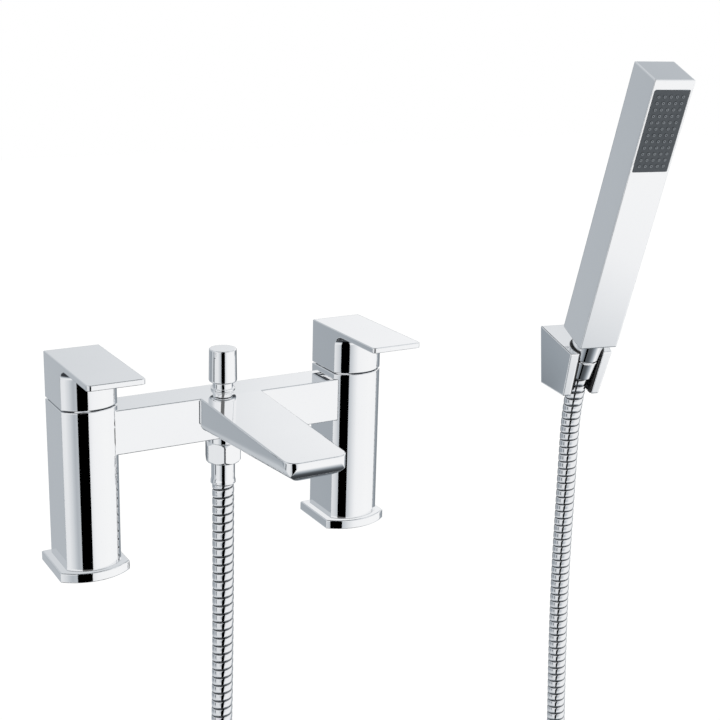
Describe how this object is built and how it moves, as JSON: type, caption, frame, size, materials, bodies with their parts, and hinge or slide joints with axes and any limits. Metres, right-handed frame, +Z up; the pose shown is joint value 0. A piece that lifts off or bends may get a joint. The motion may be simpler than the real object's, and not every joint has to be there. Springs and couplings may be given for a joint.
{
  "type": "bath shower mixer",
  "caption": "Deck bath filler bridging two tap holes, with lever handles, a pull-up diverter, a flat spout, and a hose to a square handset held in a wall bracket.",
  "frame": {"origin": "on the deck, midway between the two tap holes", "axes": "+X towards the right-hand tap and the handset, -Y out over the bath along the spout, +Z up"},
  "size_m": [0.4274, 0.1539, 0.8653],
  "materials": {
    "polished_chrome": "mirror polished chrome plate on brass",
    "handset_chrome": "mirror polished chrome plate on moulded plastic",
    "hose_chrome": "bright chromed interlocked metal strip",
    "brass": "turned brass",
    "steel": "plain stainless steel",
    "ceramic": "lapped alumina",
    "rubber": "black moulded rubber",
    "nozzle_rubber": "dark grey soft rubber",
    "charcoal_plastic": "charcoal satin moulded plastic",
    "black_plastic": "black moulded plastic",
    "white_plastic": "natural white moulded plastic"
  },
  "bodies": {
    "mixer": {"mixer_body": "polished_chrome", "flow_straightener": "white_plastic", "diverter_gland": "polished_chrome", "diverter_rod_ring": "rubber", "hose_nut": "polished_chrome", "hose_washer": "rubber", "hose_ferrule": "polished_chrome", "hose": "hose_chrome", "wall_bracket": "handset_chrome", "bracket_liner": "black_plastic", "left_trim_plate": "polished_chrome", "left_deck_gasket": "rubber", "left_valve_seal": "rubber", "left_fixed_disc": "ceramic", "left_cartridge": "brass", "right_trim_plate": "polished_chrome", "right_deck_gasket": "rubber", "right_valve_seal": "rubber", "right_fixed_disc": "ceramic", "right_cartridge": "brass"},
    "diverter": {"diverter_knob": "polished_chrome", "diverter_rod": "brass", "diverter_washers": "rubber", "diverter_plug": "brass", "diverter_rod_nut": "brass", "diverter_spring": "steel"},
    "hose_end": {"hose_end_ferrule": "polished_chrome"},
    "handset": {"handset_shell": "handset_chrome", "spray_plate": "charcoal_plastic", "nozzle_mat": "nozzle_rubber", "handset_water_way": "white_plastic", "handset_neck": "handset_chrome", "cone_nut": "polished_chrome", "handset_washer": "rubber"},
    "left_lever": {"left_handle": "polished_chrome", "left_spindle": "brass", "left_moving_disc": "ceramic", "left_spindle_ring": "rubber", "left_spindle_clip": "steel", "left_set_screw": "steel"},
    "right_lever": {"right_handle": "polished_chrome", "right_spindle": "brass", "right_moving_disc": "ceramic", "right_spindle_ring": "rubber", "right_spindle_clip": "steel", "right_set_screw": "steel"}
  },
  "joints": [
    {"name": "left_lever_turn", "type": "hinge", "parent": "mixer", "child": "left_lever", "pos_m": [-0.09, 0, 0.1062], "axis": [0, 0, 1], "range_deg": [0, 90]},
    {"name": "right_lever_turn", "type": "hinge", "parent": "mixer", "child": "right_lever", "pos_m": [0.09, 0, 0.1062], "axis": [0, 0, -1], "range_deg": [0, 90]},
    {"name": "diverter_pull", "type": "slide", "parent": "mixer", "child": "diverter", "axis": [0, 0, 1], "range_m": [0, 0.0075], "stiffness_N_per_m": 60, "springref_m": -0.01, "deforming": ["diverter_spring"]},
    {"name": "handset_lift", "type": "slide", "parent": "mixer", "child": "hose_end", "axis": [-0.0684, -0.3334, 0.9403], "range_m": [0, 0.03]},
    {"name": "handset_turn", "type": "hinge", "parent": "hose_end", "child": "handset", "pos_m": [0.286, -0.008, 0.1055], "axis": [-0.0684, -0.3334, 0.9403], "continuous": true}
  ]
}
